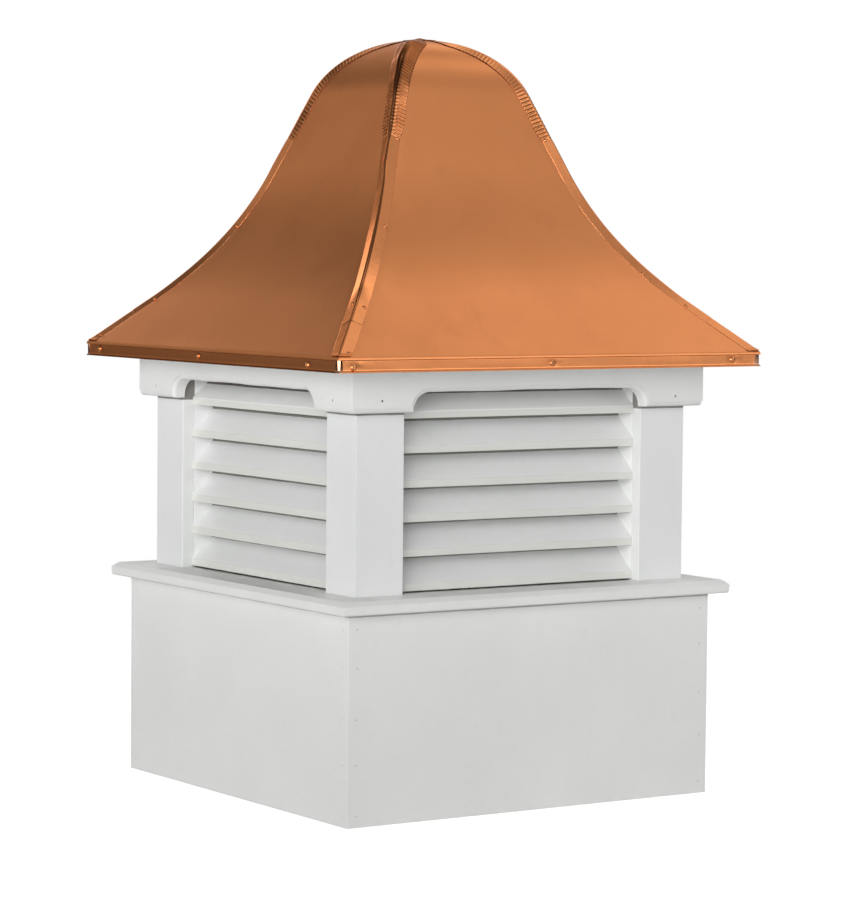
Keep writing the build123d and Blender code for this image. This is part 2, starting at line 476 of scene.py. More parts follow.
def softwood(name):
    t = Tree(name)
    p = t.bsdf
    v = t.mapped(scale=(26.0, 26.0, 1.5))
    warp = t.noise(v, 1.0, 3.0, 0.5, 0.4)
    w = t.node("ShaderNodeTexWave", wave_type="RINGS", rings_direction="Z", wave_profile="SIN")
    w.inputs["Scale"].default_value = 1.3
    w.inputs["Distortion"].default_value = 4.0
    w.inputs["Detail"].default_value = 3.0
    w.inputs["Detail Scale"].default_value = 1.2
    t.link(v, w.inputs["Vector"])
    fibre = t.noise(t.mapped(scale=(500.0, 500.0, 9.0)), 1.0, 3.0, 0.6)
    colour = t.ramp(w.outputs["Fac"], [(0.0, (0.52, 0.34, 0.17)), (0.45, (0.66, 0.47, 0.26)), (1.0, (0.71, 0.53, 0.31))])
    colour = t.mix(t.range(fibre, 0.3, 0.7, 0.0, 0.35), colour, (0.50, 0.33, 0.17))
    colour = t.mix(t.range(warp, 0.45, 0.7, 0.0, 0.3), colour, (0.60, 0.42, 0.23))
    t.link(colour, p.inputs["Base Color"])
    t.link(t.range(fibre, 0.3, 0.7, 0.55, 0.75), p.inputs["Roughness"])
    t.link(t.bump(fibre, 0.5, 0.0002), p.inputs["Normal"])
    return t.mat


PVC = pvc("white_pvc")
# painted light: the slats are tinted lighter than the other white board to lift their shaded faces
SLAT_TINT = (0.922, 0.935, 0.922)
# painted shade: each slat gets a dark line deep in the bank, just under the nose of the slat above, where that nose
# shades it; the depth differs by side so the line sits under the noses
PVC_SLAT = {k: pvc("white_pvc_slat_" + n, SLAT_TINT, 0.225,
                   painted_shade={"along": "depth", "from": at + 0.0009, "to": at, "depth": 0.85, "colour": (0.27, 0.265, 0.225)})
            for k, n, at in ((0, "front", 0.2801), (1, "right", 0.2826), (2, "back", 0.2801), (3, "left", 0.2826))}
PVC_FRIEZE = pvc("white_pvc_frieze", (0.868, 0.868, 0.855))
PVC_NOSE = pvc("white_pvc_nose", (0.790, 0.792, 0.752), 0.225)
PVC_SILL = pvc("white_pvc_sill", (0.908, 0.908, 0.896))
# painted shade: a near-black line on the top slat where the notch edge shades the gap above it
PVC_TOP_SLAT = {k: pvc("white_pvc_top_slat_" + n, SLAT_TINT, 0.225,
                       painted_shade={"along": "depth", "from": at + 0.0012, "to": at, "depth": 0.9, "colour": (0.10, 0.072, 0.052)})
                for k, n, at in ((0, "front", 0.2935), (1, "right", 0.2970), (2, "back", 0.2935), (3, "left", 0.2970))}
# painted shadow: a dark line on the posts just under the frieze
PVC_POST = pvc("white_pvc_post", (0.866, 0.875, 0.870), painted_shade={"along": "z", "from": 0.6925, "to": 0.6934, "depth": 0.85, "colour": (0.17, 0.15, 0.13)})
# painted shadow: a dark line along the top of the base just under the sill
PVC_BASE = pvc("white_pvc_base", (0.890, 0.890, 0.877), 0.34,
               painted_shade={"along": "z", "from": 0.3560, "to": 0.3567, "depth": 0.75, "colour": (0.27, 0.25, 0.225)})
COPPER = copper("copper_sheet", rough=0.315)
COPPER_CAP = copper("copper_cap", (0.93, 0.343, 0.129), 0.225, 1.2, 0.30)
# painted shade: the near hip cap is browned and darkened above 1.236 m, in place of a dark reflection
COPPER_NEAR = copper("copper_cap_painted_dark", (0.93, 0.343, 0.129), 0.225, 1.2, 0.30, (1.236, 1.262, 0.95, 0.010))
# painted shade: the peak is browned and darkened above 1.25 m, in place of a dark reflection
COPPER_PEAK = copper("copper_peak", (0.93, 0.343, 0.129), 0.225, 1.2, 0.30, (1.25, 1.34, 0.9, 0.004))
COPPER_HEM = copper("copper_hem", (0.32, 0.155, 0.085), 0.36, 1.2)
COPPER_LAP = copper("copper_lap", (0.66, 0.34, 0.205), 0.225, 1.0, 0.18)
COPPER_EDGE = copper("copper_edge", (0.93, 0.343, 0.129), 0.225, 1.2, 0.18)
# painted shade: the foot of the left and back strips is darkened below about 775 mm, in place of a darker reflection
COPPER_EDGE_DARKENED = copper("copper_edge_painted_dark", (0.93, 0.343, 0.129), 0.225, 1.2, 0.18, (0.7750, 0.7722, 0.85, 0.0005))
COPPER_SCREW = copper("copper_screw", (0.94, 0.385, 0.155), 0.20, 1.0)
NAIL = plain_noise("nail_head", (0.045, 0.042, 0.038), (0.10, 0.09, 0.08), 900.0, (0.45, 0.6), 0.5, 0.03)
NAIL_PAINTED = plain_noise("nail_head_painted", (0.66, 0.655, 0.635), (0.76, 0.755, 0.735), 700.0, (0.35, 0.5), 0.0, 0.03)
WOOD = softwood("softwood")


# ---------------------------------------------------------------------------
# Base
# ---------------------------------------------------------------------------
BASE, BASE_H, BOARD = 381.0, 362.0, 25.0
base_section = rounded([(BASE - BOARD, 0), (BASE, 0), (BASE, BASE_H), (BASE - BOARD, BASE_H)],
                       [0.8, 1.2, 0.8, 0.8])
NAIL_Z = (335.0, 271.0, 182.0, 105.0, 20.0)
rng = np.random.default_rng(7)

for side, k in SIDES.items():
    s = Shape()
    s.add(*mitred_run(base_section, 1.3, seam=0.10))
    me = s.mesh("base_board_" + side, k)
    holes = Shape()
    heads = Shape()
    for sx in (-1, 1):
        for z in NAIL_Z:
            x = sx * 363.0 + rng.uniform(-1.2, 1.2)
            zz = z + rng.uniform(-1.5, 1.5)
            out = (0, -1, 0)
            holes.add(*lathe([(0, -0.75), (1.9, -0.75), (2.3, 0.1), (2.9, 0.6), (0, 0.6)],
                             (x, -BASE, zz), out, 20))
            heads.add(*lathe([(0, -2.0), (1.88, -2.0), (1.88, -0.55), (1.5, -0.36), (0.8, -0.30), (0, -0.28)],
                             (x, -BASE, zz), out, 20))
    me = cut(me, holes, k, "base_" + side)
    place("base_board_" + side, me, [PVC_BASE], "white_vinyl", "base_board_" + side)
    place("base_nails_" + side, heads.mesh("base_nails_" + side, k), [NAIL_PAINTED], "white_vinyl")

CLEAT = 38.0
for corner, k in CORNERS.items():
    a = BASE - BOARD
    plan = rounded([(a - CLEAT, -a), (a, -a), (a, -a + CLEAT), (a - CLEAT, -a + CLEAT)], 2.5, 4)
    s = Shape().add(*prism_z(plan, 20.0, 362.0, 1.0, (100.0, 190.0, 280.0)))
    place("base_cleat_" + corner, s.mesh("base_cleat_" + corner, k), [WOOD], "wood", "base_cleat_" + corner)
    screws = Shape()
    for z in (70.0, 190.0, 310.0):
        for o, ax in (((a - CLEAT, -a + CLEAT * 0.55, z), (-1, 0, 0)), ((a - CLEAT * 0.55, -a + CLEAT, z - 22), (0, 1, 0))):
            screws.add(*lathe([(0, -1.5), (4.0, -1.5), (4.0, -0.1), (3.7, 0.15), (1.6, 0.2), (1.3, -0.5), (0, -0.6)], o, ax, 20))
    place("cleat_screws_" + corner, screws.mesh("cleat_screws_" + corner, k), [NAIL], "wood")

# ---------------------------------------------------------------------------
# Sill
# ---------------------------------------------------------------------------
sill_section = rounded([(319, 362), (405.5, 362), (408, 364.5), (408, 377.5), (398, 385.5), (319, 385.5)],
                       [0.8, 0.8, 0.8, 1.3, 2.0, 0.8])
for side, k in SIDES.items():
    s = Shape().add(*mitred_run(sill_section, 0.8, seam=0.12))
    place("sill_" + side, s.mesh("sill_" + side, k), [PVC_SILL], "white_vinyl", "sill_" + side)

# ---------------------------------------------------------------------------
# Corner posts
# ---------------------------------------------------------------------------
P, PW, PT = 346.0, 96.0, 25.0
post_plan = rounded([(P, -P), (P, -P + PW), (P - PT, -P + PW), (P - PT, -P + PT), (P - PW, -P + PT), (P - PW, -P)],
                    [0.7, 1.6, 1.6, 0.0, 1.6, 1.6], 6)
for corner, k in CORNERS.items():
    s = Shape().add(*prism_z(post_plan, 385.6, 770.0, 0.5))
    place("corner_post_" + corner, s.mesh("corner_post_" + corner, k), [PVC_POST], "white_vinyl", "corner_post_" + corner)

# ---------------------------------------------------------------------------
# Louver bank
# ---------------------------------------------------------------------------
NOSE_Y, RUN, RISE, NOSE = -326.0, 60.0, 60.0 * math.tan(math.radians(41.0)), 14.0
for side, k in SIDES.items():
    s = Shape()
    for i in range(6):
        z0 = 387.5 + 59.2 * i
        sec = rounded([(NOSE_Y, z0), (NOSE_Y + RUN, z0 + RISE), (NOSE_Y + RUN, z0 + RISE + NOSE), (NOSE_Y, z0 + NOSE)],
                      [1.0, 2.0, 2.0, 4.2], 6)
        v, f = prism_x(sec, -249.6, 249.6, 0.9, tuple(np.linspace(-200, 200, 9)))
        # boards are never quite straight: under half a millimetre of bow
        bow = 0.35 * np.sin(v[:, 0] / 249.6 * math.pi * 0.5 + 1.7 * i + k)
        v[:, 2] += bow * (1 - (v[:, 0] / 249.6) ** 2)
        s.add(v, f)
    me = s.mesh("louver_slats_" + side, k)
    for p in me.polygons:
        out = max(abs(p.center[0]), abs(p.center[1])) / MM
        # faces of the top slat seen through the notch take the material with the painted near-black line
        if p.center[2] / MM - (-NOSE_Y - out) * RISE / RUN > 683.5 + NOSE - 1.5:
            p.material_index = 1
        elif out > -NOSE_Y - 1.2:
            # the front edges are tinted darker and creamier than the faces
            p.material_index = 2
    place("louver_slats_" + side, me, [PVC_SLAT[k], PVC_TOP_SLAT[k], PVC_NOSE], "white_vinyl", "louver_slats_" + side)
    s = Shape()
    for sx in (-1, 1):
        a, b = sorted((sx * 250.0, sx * 263.0))
        plan = rounded([(a, -321.0), (b, -321.0), (b, -264.0), (a, -264.0)], 1.2, 4)
        s.add(*prism_z(plan, 385.6, 760.0, 0.6))
    place("louver_stiles_" + side, s.mesh("louver_stiles_" + side, k), [PVC_SLAT[k]], "white_vinyl", "louver_stiles_" + side)


# ---------------------------------------------------------------------------
# Frieze boards
# ---------------------------------------------------------------------------
FH, FB, FT = 370.75, 697.5, 770.0
FTHICK = FH - P


def frieze_rings():
    """(inset from the outline, depth behind the face) round the routed lower edge."""
    prof = [(0.0, FTHICK), (0.0, 7.2)]
    for t in np.linspace(0, 90, 8)[1:]:
        a = math.radians(t)
        prof.append((6.0 * (1 - math.cos(a)), 7.2 - 6.0 * math.sin(a)))
    # a small step cut above the round
    prof += [(6.1, 1.3), (6.25, 2.7), (7.75, 2.7), (7.95, 0.0)]
    return prof


def notch_wave(x):
    return 0.55 * np.sin(x / 61.0 + 0.6) + 0.35 * np.sin(x / 23.0 + 2.0)


def frieze(k):
    prof = frieze_rings()
    section = np.array([(FH - w, FB + u) for u, w in prof])
    # normals of the open section, from the foot of the back to the front face
    closed = np.vstack([section, [(FH, FT), (FH - FTHICK, FT)]])
    nrm = normals_2d(closed)[:len(section)]
    nrm[0] = (0.0, -1.0)
    e = 1.0
    rows = []
    for (u, w), (h, z), n in zip(prof, section, nrm):
        r = 33.0 + u
        a0 = math.asin((u - 1.5) / r) if u > 1.5 else 0.0
        pts = []
        # right half, from the middle out
        for x in np.linspace(0, 211, 22)[:-1]:
            pts.append((x, -h, 732.0 + u + notch_wave(k * 300 + x)))
        for a in np.linspace(math.pi / 2, a0, 19):
            x = 211.0 + r * math.cos(a)
            zz = 699.0 + r * math.sin(a)
            wv = notch_wave(k * 300 + x) * max(0.0, math.sin(a)) ** 3
            pts.append((x, -h, zz + wv))
        ease_c = 1.2 if u <= 1.5 else 0.0
        if u <= 1.5:
            pts.append((244.0 + u + 0.15, -h, FB + u + 0.35))
        else:
            pts.append((pts[-1][0] + 0.4, -h, FB + u))
        pts.append((244.0 + u + 2.0, -h, FB + u))
        for x in (268.0, 300.0, 335.0):
            pts.append((x, -h, FB + u))
        for off, sb in mitre_ease(e, 0.12):
            q = (h - off * n[0], z - off * n[1])
            pts.append((q[0] - sb, -q[0], q[1]))
        right = np.array(pts)
        left = []
        for x in np.linspace(0, 211, 22)[1:-1][::-1]:
            left.append((-x, -h, 732.0 + u + notch_wave(k * 300 - x)))
        arc = []
        for a in np.linspace(math.pi / 2, a0, 19):
            x = -(211.0 + r * math.cos(a))
            arc.append((x, -h, 699.0 + r * math.sin(a) + notch_wave(k * 300 + x) * max(0.0, math.sin(a)) ** 3))
        tail = right[40:].copy()
        tail[:, 0] *= -1
        row = np.vstack([tail[::-1], np.array(arc)[::-1], np.array(left), right])
        rows.append(row)
    m = len(rows[0])
    # top of the board, over the front face and over the back
    front_top = rows[-1].copy()
    front_top[:, 2] = FT
    back_top = rows[0].copy()
    back_top[:, 2] = FT
    rows = rows + [front_top, back_top]
    verts = np.concatenate(rows)
    faces = []
    R = len(rows)
    for r in range(R):
        a, b = r * m, ((r + 1) % R) * m
        for i in range(m - 1):
            faces.append((a + i, a + i + 1, b + i + 1, b + i))
    faces.append(tuple(r * m for r in range(R)))
    faces.append(tuple(r * m + m - 1 for r in range(R))[::-1])
    return verts, faces


for side, k in SIDES.items():
    s = Shape().add(*frieze(k))
    me = s.mesh("frieze_" + side, k, 28)
    holes = Shape()
    heads = Shape()
    for sx in (-1, 1):
        x = sx * 309.0 + rng.uniform(-2, 2)
        z = 716.5 + rng.uniform(-2.0, 2.0)
        holes.add(*lathe([(0, -4.5), (2.15, -4.5), (2.15, -0.4), (2.4, 0.2), (2.6, 0.6), (0, 0.6)], (x, -FH, z), (0, -1, 0), 20))
        heads.add(*lathe([(0, -7.0), (2.12, -7.0), (2.12, -2.3), (1.6, -2.05), (0, -2.0)], (x, -FH, z), (0, -1, 0), 20))
    me = cut(me, holes, k, "frieze_" + side)
    place("frieze_" + side, me, [PVC_FRIEZE], "white_vinyl", "frieze_" + side)
    place("frieze_nails_" + side, heads.mesh("frieze_nails_" + side, k), [NAIL], "white_vinyl")

# ---------------------------------------------------------------------------
# Eave deck: four mitred soffit boards round a middle panel
# ---------------------------------------------------------------------------
s = Shape()
soffit = rounded([(300, 770), (439.7, 770), (439.7, 786), (300, 786)], [0.8, 0.8, 0.3, 0.3])
v, f = mitred_run(soffit, 0.5, seam=0.5)
for k in range(4):
    s.add(turn(v, k), f)
inner = rounded([(-299.4, -299.4), (299.4, -299.4), (299.4, 299.4), (-299.4, 299.4)], 1.0, 3)
s.add(*prism_z(inner, 770.6, 786.0, 0.6))
place("roof_deck", s.mesh("roof_deck"), [PVC], "white_vinyl", "roof_deck")

# ---------------------------------------------------------------------------
# Bell roof
# ---------------------------------------------------------------------------
TOP, R1 = 1348.3, 152.0
A1, A2 = math.radians(69.0), math.radians(43.16)
L1, R2 = 146.9, 628.2
ZC = TOP - R1
SA = R1 * A1
PA = (R1 * math.sin(A1), ZC + R1 * math.cos(A1))
SB = SA + L1
PB = (PA[0] + L1 * math.cos(A1), PA[1] - L1 * math.sin(A1))
CB = (PB[0] + R2 * math.sin(A1), PB[1] + R2 * math.cos(A1))
SC = SB + R2 * (A1 - A2)
PC = (CB[0] - R2 * math.sin(A2), CB[1] - R2 * math.cos(A2))
EAVE_H = 443.25
BEND = 2.6
# centre of the bend at the eave, tangent to the lower run and to the plane of the lip
S_EAVE = SC + (443.4 - PC[0]) / math.cos(A2)


def roof(S):
    """(d, z, slope) of the roof line at a length S down from the middle."""
    S = np.asarray(S, float)
    d = np.empty_like(S)
    z = np.empty_like(S)
    a = np.empty_like(S)
    m = S < SA
    t = S / R1
    d[m], z[m], a[m] = (R1 * np.sin(t))[m], (ZC + R1 * np.cos(t))[m], t[m]
    m = (S >= SA) & (S < SB)
    u = S - SA
    d[m], z[m], a[m] = (PA[0] + u * math.cos(A1))[m], (PA[1] - u * math.sin(A1))[m], A1
    m = (S >= SB) & (S < SC)
    t = A1 - (S - SB) / R2
    d[m], z[m], a[m] = (CB[0] - R2 * np.sin(t))[m], (CB[1] - R2 * np.cos(t))[m], t[m]
    m = S >= SC
    u = S - SC
    d[m], z[m], a[m] = (PC[0] + u * math.cos(A2))[m], (PC[1] - u * math.sin(A2))[m], A2
    return d, z, a


CAP = 20.4           # width of a hip cap leg, square to the hip
NEAR_EDGE = np.array([0.0, 8.0, 15.0, 19.0, 20.5, 21.5, 23.0, 25.0, 27.5, 30.5, 34.0, 38.0, 44.0])


def panel(k):
    """One copper sheet: outer skin, eave bend and lip, and the inner skin, closed."""
    S = np.concatenate([np.linspace(13.0, 40.0, 6)[:-1], np.linspace(40, SA, 26)[:-1], np.linspace(SA, SB, 22)[:-1],
                        np.linspace(SB, SC, 46)[:-1], np.linspace(SC, S_EAVE - 4.2, 22)])
    d, z, a = roof(S)
    # eave: an arc of radius BEND from the slope to a steep lip, which rolls under itself
    zline = 794.2 + (443.4 - EAVE_H) * math.tan(A2)
    LIP = math.radians(80.0)
    # foot of the lip, then its top, then the centre of the arc that meets the slope
    foot = (EAVE_H, 790.9)
    lean = 2.5
    top_h, top_z = foot[0] - lean * math.cos(LIP), foot[1] + lean * math.sin(LIP)
    ch, cz = top_h - BEND * math.sin(LIP), top_z - BEND * math.cos(LIP)
    # the straight run meets the arc a little above the slope line, so the arc starts where they touch
    drop = (zline + (EAVE_H - ch) * math.tan(A2)) - (cz + BEND / math.cos(A2))
    bend = []
    for t in np.linspace(A2, LIP, 6):
        bend.append((ch + BEND * math.sin(t), cz + BEND * math.cos(t) + drop * (1 - smooth(A2, LIP, t)), t))
    lip = [(top_h + lean * 0.5 * math.cos(LIP), top_z - lean * 0.5 * math.sin(LIP), LIP), (foot[0], foot[1] + 0.25, LIP)]
    for t in (92.0, 118.0, 145.0):
        lip.append((foot[0] - 0.62 + 0.62 * math.sin(math.radians(t)), foot[1] + 0.2 + 0.62 * math.cos(math.radians(t)), math.radians(t)))
    tail = np.array(bend + lip)
    d = np.concatenate([d, tail[:, 0]])
    z = np.concatenate([z, tail[:, 1]])
    a = np.concatenate([a, tail[:, 2]])
    Sx = np.concatenate([S, np.full(len(tail), S_EAVE)])
    m = np.sqrt(1 + np.cos(np.minimum(a, A1)) ** 2)
    mid = np.linspace(-1, 1, 31)
    rows_o, rows_i = [], []
    for i in range(len(d)):
        sc = min(1.0, 0.93 * d[i] / (NEAR_EDGE[-1] * m[i]))
        q = NEAR_EDGE * sc
        xe = d[i] - q * m[i]
        xm = xe[-1]
        x = np.concatenate([-xe, mid[1:-1] * xm, xe[::-1]])
        qq = np.concatenate([q, np.full(len(mid) - 2, 60.0), q[::-1]])
        # the sheet dips where the caps are screwed down on it
        fade = float(smooth(40, 120, Sx[i]) * (1 - smooth(S_EAVE - 18, S_EAVE - 6, Sx[i])))
        off = -0.15 * (1 - smooth(CAP, CAP + 9, qq)) * fade
        # slight wandering of a thin sheet
        t = x / max(d[i], 1.0)
        inner = (1 - np.abs(t) ** 6) * fade
        off = off + inner * (0.22 * np.sin(Sx[i] / 66.0 + 1.3 * k) * np.cos(2.1 * t + k)
                             + 0.14 * np.sin(Sx[i] / 31.0 + 2.0 * t + 2.2 * k))
        if i >= len(S):
            off = off * 0
        # small ripples along the bent lip
        if i >= len(S):
            rip = 0.16 * np.sin(x / 17.0 + k) * np.sin(x / 41.0 + 2 * k)
            off = off - np.abs(rip)
        nh, nz = math.sin(a[i]), math.cos(a[i])
        rows_o.append(np.stack([x, -(d[i] + off * nh), z[i] + off * nz], 1))
        off2 = off - 0.6
        rows_i.append(np.stack([x, -(d[i] + off2 * nh), z[i] + off2 * nz], 1))
    n = len(rows_o[0])
    verts = np.concatenate(rows_o + rows_i[::-1])
    faces = []
    R = len(rows_o) * 2
    for r in range(R - 1):
        p, q2 = r * n, (r + 1) * n
        for i in range(n - 1):
            faces.append((p + i, p + i + 1, q2 + i + 1, q2 + i))
    # back to the start along the upper edge
    p, q2 = (R - 1) * n, 0
    for i in range(n - 1):
        faces.append((p + i, p + i + 1, q2 + i + 1, q2 + i))
    H = len(rows_o)
    for r in range(H - 1):
        a0, a1 = r * n, (r + 1) * n
        b0, b1 = (R - 1 - r) * n, (R - 2 - r) * n
        faces.append((a0, a1, b1, b0))
        faces.append((a0 + n - 1, b0 + n - 1, b1 + n - 1, a1 + n - 1))
    return verts, faces


for side, k in SIDES.items():
    s = Shape().add(*panel(k))
    place("roof_panel_" + side, s.mesh("roof_panel_" + side, k, 50), [COPPER], "copper", "roof_panel_" + side, weighted=False)

# ---------------------------------------------------------------------------
# Drip edge
# ---------------------------------------------------------------------------
FACE = 440.7         # outer plane of the strip


EAVE_SCREWS = {"front": [(-412.0, 779.0), (-10.0, 781.0), (381.0, 781.5)],
               "left": [(-397.6, 782.0), (-30.0, 781.5), (339.5, 780.0)],
               "back": [(-410.0, 780.0), (12.0, 781.0), (385.0, 781.5)],
               "right": [(-392.0, 781.5), (25.0, 781.0), (345.0, 780.0)]}


def drip_section():
    outer = [(413.6, 790.6), (439.0, 790.6)]
    for t in np.linspace(90, 0, 5):
        a = math.radians(t)
        outer.append((FACE - 1.2 + 1.2 * math.cos(a), 789.4 + 1.2 * math.sin(a)))
    outer += [(FACE, h) for h in (787.6, 786.2, 784.8, 783.4, 782.0, 780.6, 779.2, 777.8, 776.4, 775.0)]
    outer += [(FACE + 0.05, 773.8), (FACE + 0.45, 772.7), (FACE + 1.2, 771.7), (FACE + 2.0, 771.0), (443.15, 770.45),
              (443.3, 770.0), (443.2, 769.6), (442.8, 769.5), (442.2, 769.8)]
    inner = [(441.3, 770.6), (440.4, 771.7), (440.0, 772.9), (439.9, 774.2), (439.9, 789.0), (439.0, 789.9), (413.6, 789.9)]
    return np.array(outer + inner)


def eave_dents(side, x, z):
    """How far the strip is pressed in round its screws."""
    out = np.zeros_like(x)
    for j, (xs, zs) in enumerate(EAVE_SCREWS[side]):
        deep = (0.75, 0.5, 0.6)[j]
        r2 = ((x - xs) / 10.0) ** 2 + ((z - zs) / 6.0) ** 2
        out += deep * np.exp(-r2)
        # the sheet springs up beside the hollow
        out -= 0.45 * deep * np.exp(-(((x - xs - 12.0) / 7.0) ** 2 + ((z - zs - 5.0) / 4.0) ** 2))
    return out


for side, k in SIDES.items():
    s = Shape()
    half = 440.0
    st = list(np.linspace(-0.96, 0.96, 49))
    for xs, zs in EAVE_SCREWS[side]:
        st += [(xs + o) / half for o in (-18, -14, -11, -8.5, -6, -4, -2, 0, 2, 4, 6, 8.5, 11, 14, 18, 22)]
    st = sorted(set(round(t, 4) for t in st if abs(t) < 0.968))
    st = [t for i, t in enumerate(st) if i == 0 or t - st[i - 1] > 0.0015]
    v, f = mitred_run(drip_section(), 0.3, tuple(st), seam=0.05)
    # thin sheet on a board: the lower hem wanders a little, dimpled at the screws
    low = 1 - smooth(770, 782, v[:, 2])
    wave = 0.16 * np.sin(v[:, 0] / 37.0 + k) + 0.10 * np.sin(v[:, 0] / 13.0 + 3 * k)
    v[:, 1] += low * np.abs(wave) * (np.abs(v[:, 0]) < 430)
    on_face = (v[:, 1] < -439.5) & (v[:, 2] < 790.0)
    buckle = 0.10 * np.sin(v[:, 0] / 53.0 + 1.7 * k) * np.sin((v[:, 2] - 770.0) / 21.0 * math.pi)
    v[:, 1] += np.where(on_face & (np.abs(v[:, 0]) < 430), eave_dents(side, v[:, 0], v[:, 2]) + buckle, 0.0)
    s.add(v, f)
    place("drip_edge_" + side, s.mesh("drip_edge_" + side, k, 40), [COPPER_EDGE if side in ("front", "right") else COPPER_EDGE_DARKENED], "copper", "drip_edge_" + side)


def corner_lap(k):
    """Sheet folded round the corner of the strip over a flat, tapering nose."""
    zs = np.array([769.9, 770.3, 770.8, 771.4, 772.0, 772.8, 774.0, 776.0, 779.0, 782.0, 785.0, 788.0, 789.6, 790.3])
    rings = []
    for z in zs:
        u = (z - 769.9) / 20.4
        strip = float(np.interp(z, [769.5, 770.0, 770.45, 771.0, 771.7, 772.7, 773.8, 775.0],
                                [443.1, 443.1, 442.95, 442.5, 441.9, 441.15, 440.75, 440.7]))
        c = float(np.interp(z, [769.5, 770.5, 771.7, 773.0, 776.0, 783.0, 790.6], [0.2, 0.4, 1.1, 1.9, 2.5, 3.2, 4.0]))
        e = min(443.36, strip + c / 2 + 0.06)
        w = strip + 0.12
        a0 = 13.0 - 6.0 * u                          # end of the lap on the front
        b0 = 7.5 - 3.0 * u
        t = 0.6
        outer = [(e - c - a0, -w), (e - c - a0 * 0.55, -w - 0.25 * (e - w)), (e - c - 1.6, -e + 0.15 * (e - w)), (e - c, -e + 0.04),
                 (e - c * 0.8, -e + c * 0.2), (e - c * 0.5, -e + c * 0.5), (e - c * 0.2, -e + c * 0.8), (e - 0.04, -e + c),
                 (e - 0.2 * (e - w), -e + c + 1.6), (w, -e + c + b0)]
        p = np.array(outer)
        q = p + np.array([-t * 0.7, t * 0.7])
        q[:3] = p[:3] + (0.0, t)
        q[-2:] = p[-2:] + (-t, 0.0)
        ring = np.vstack([p, q[::-1]])
        rings.append(np.column_stack([ring, np.full(len(ring), z)]))
    return loft(rings)


# laps that wrap the strips round each corner
for corner, k in CORNERS.items():
    s = Shape().add(*corner_lap(k))
    place("eave_lap_" + corner, s.mesh("eave_lap_" + corner, k, 24), [COPPER_LAP], "copper", weighted=False)


def screw(shape, origin, axis, r=5.2, proud=1.35, seg=28, phase=0.0, mat=0):
    """Low round head with a rolled rim and a cross-shaped hollow in the middle."""
    def hollow(rr, t):
        if rr > r * 0.52:
            return 0.0
        cross = np.maximum(np.abs(np.cos(t + phase)), np.abs(np.sin(t + phase))) ** 10
        return -proud * 0.45 * cross * (1 - (rr / (r * 0.52)) ** 2)
    prof = [(0, -0.8), (r, -0.8), (r, 0.08), (r * 0.985, proud * 0.30), (r * 0.93, proud * 0.52), (r * 0.84, proud * 0.60),
            (r * 0.74, proud * 0.58), (r * 0.68, proud * 0.66), (r * 0.60, proud * 0.88), (r * 0.50, proud * 0.98),
            (r * 0.40, proud), (r * 0.30, proud), (r * 0.22, proud), (r * 0.14, proud), (r * 0.06, proud), (0, proud * 0.55)]
    v, f = lathe(prof, origin, axis, seg, warp=hollow)
    shape.add(v, f, mat)


for side, k in SIDES.items():
    s = Shape()
    for j, (x, z) in enumerate(EAVE_SCREWS[side]):
        sunk = float(eave_dents(side, np.array([x]), np.array([z]))[0])
        lean = (0.10 * math.sin(2.1 * j + k), -1.0, 0.14 * math.cos(1.3 * j + k))
        screw(s, (x, -FACE + sunk * 0.8, z), lean, 6.0, 2.5, phase=0.7 * j + k)
    place("eave_screws_" + side, s.mesh("eave_screws_" + side, k, 50), [COPPER_SCREW], "copper", weighted=False)


# ---------------------------------------------------------------------------
# Hip caps
# ---------------------------------------------------------------------------
CRIMP_PITCH = 7.1
S_CRIMP = 267.5          # foot of the crimped part
S_LAP = 652.0            # the lower piece starts here, under the upper one
S_END = 735.6


def hip_stations():
    """Lengths S down the roof, close together in the crimps."""
    S = [16.0]
    while S[-1] < S_END:
        s = S[-1]
        _, _, a = roof(np.array([s]))
        m = math.sqrt(1 + math.cos(float(a[0])) ** 2)
        if s < S_CRIMP + 3:
            step = 0.64
        elif s < S_CRIMP + 30:
            step = 1.6
        elif S_LAP - 8 < s < S_LAP + 8:
            step = 0.7
        elif s > S_END - 16:
            step = 1.0
        else:
            step = 4.0
        S.append(s + step / m)
    return np.array(S)


HS = hip_stations()
hd, hz, ha = roof(HS)
hm = np.sqrt(1 + np.cos(ha) ** 2)
HL = np.concatenate([[0], np.cumsum(np.diff(HS) * (hm[1:] + hm[:-1]) / 2)])     # length along the hip
L_CRIMP = float(np.interp(S_CRIMP, HS, HL))


def glide(x, xs, ys):
    """Smooth passage through the values ys at the places xs."""
    x = np.asarray(x, float)
    out = np.full(x.shape, float(ys[0]))
    for i in range(len(xs) - 1):
        out = out + (ys[i + 1] - ys[i]) * smooth(xs[i], xs[i + 1], x)
    return out


# A cap is folded to one angle along its whole length, so it stands further off the
# roof at the ridge where the hip is flatter, towards the eave.
TILT_AT = (24.0, 62.0, 105.0, 145.0, 183.0, 267.0, 400.0, 500.0, 565.0, 612.0)


